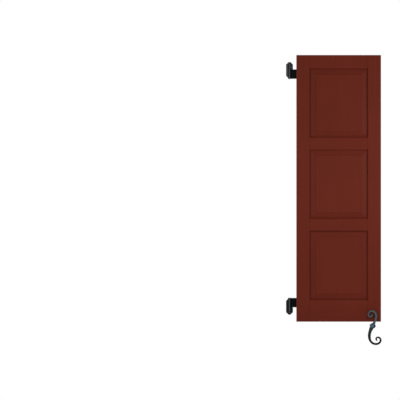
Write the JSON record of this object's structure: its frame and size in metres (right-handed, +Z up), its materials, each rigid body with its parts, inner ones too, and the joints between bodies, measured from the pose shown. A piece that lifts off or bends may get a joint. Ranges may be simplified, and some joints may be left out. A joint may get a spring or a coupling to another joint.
{
  "type": "raised panel window shutter leaf with strap hinges, plate pintles and scroll shutter dog",
  "caption": "Tall wooden exterior shutter leaf with raised square panels, hung on strap hinges and wall pintles, held open by a turning iron scroll dog.",
  "frame": {"origin": "centre of the lower pintle plate's back face, on the wall", "axes": "+X across the open leaf away from the pins, +Y into the wall, +Z up"},
  "size_m": [0.516, 0.1087, 1.5663],
  "materials": {
    "painted_wood": "satin burgundy paint",
    "black_hinge_iron": "black coated steel",
    "black_forged_iron": "black forged iron"
  },
  "bodies": {
    "wall_hardware": {"lower_pintle_plate": "black_hinge_iron", "upper_pintle_plate": "black_hinge_iron", "lower_pintle": "black_hinge_iron", "upper_pintle": "black_hinge_iron", "dog_post": "black_forged_iron"},
    "leaf": {"hinge_stile": "painted_wood", "outer_stile": "painted_wood", "top_rail": "painted_wood", "upper_mid_rail": "painted_wood", "lower_mid_rail": "painted_wood", "bottom_rail": "painted_wood", "top_panel": "painted_wood", "middle_panel": "painted_wood", "bottom_panel": "painted_wood", "upper_strap": "black_hinge_iron", "lower_strap": "black_hinge_iron"},
    "dog": {"dog_scroll": "black_forged_iron"}
  },
  "joints": [
    {"name": "leaf_swing", "type": "hinge", "parent": "wall_hardware", "child": "leaf", "pos_m": [0, -0.057, 0.638], "axis": [0, 0, -1], "range_deg": [0, 180]},
    {"name": "dog_turn", "type": "hinge", "parent": "wall_hardware", "child": "dog", "pos_m": [0.45, -0.0985, -0.104], "axis": [0, -1, 0], "continuous": true}
  ]
}
